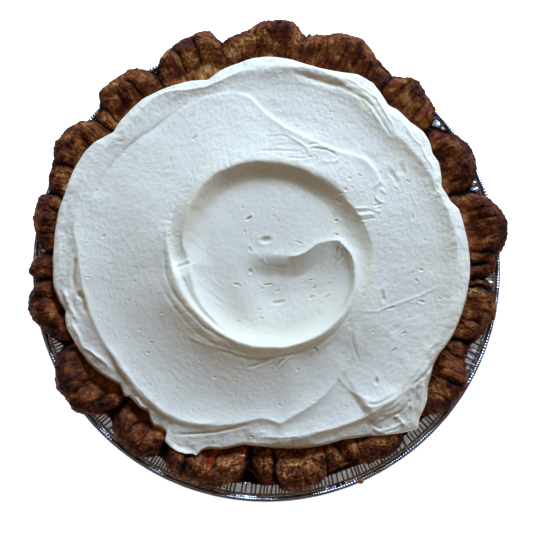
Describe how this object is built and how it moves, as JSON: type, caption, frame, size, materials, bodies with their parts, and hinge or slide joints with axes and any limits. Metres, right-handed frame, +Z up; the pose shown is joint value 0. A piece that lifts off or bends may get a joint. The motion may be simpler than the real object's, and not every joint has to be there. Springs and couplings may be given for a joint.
{
  "type": "candy corn pie",
  "caption": "Whole round pie in a foil tin: a dark baked crust with a pinched, fluted rim under a thick layer of white cream spread in one swirl.",
  "frame": {"origin": "centre of the underside of the tin's flat base", "axes": "+Z up out of the tin, +Y away from the side where most of the tin's flange shows, +X to the right of that"},
  "size_m": [0.2483, 0.2526, 0.0515],
  "materials": {
    "foil": "thin bright aluminium foil, finely ribbed flange and wall, rolled bead",
    "pastry": "dark baked shortcrust pastry, flaky and matt with a few glossy brown patches",
    "cream": "soft matt whipped cream with spatula ridges and small air holes"
  },
  "bodies": {
    "root": {"foil_tin": "foil", "pie_crust": "pastry", "cream_topping": "cream"}
  },
  "joints": []
}
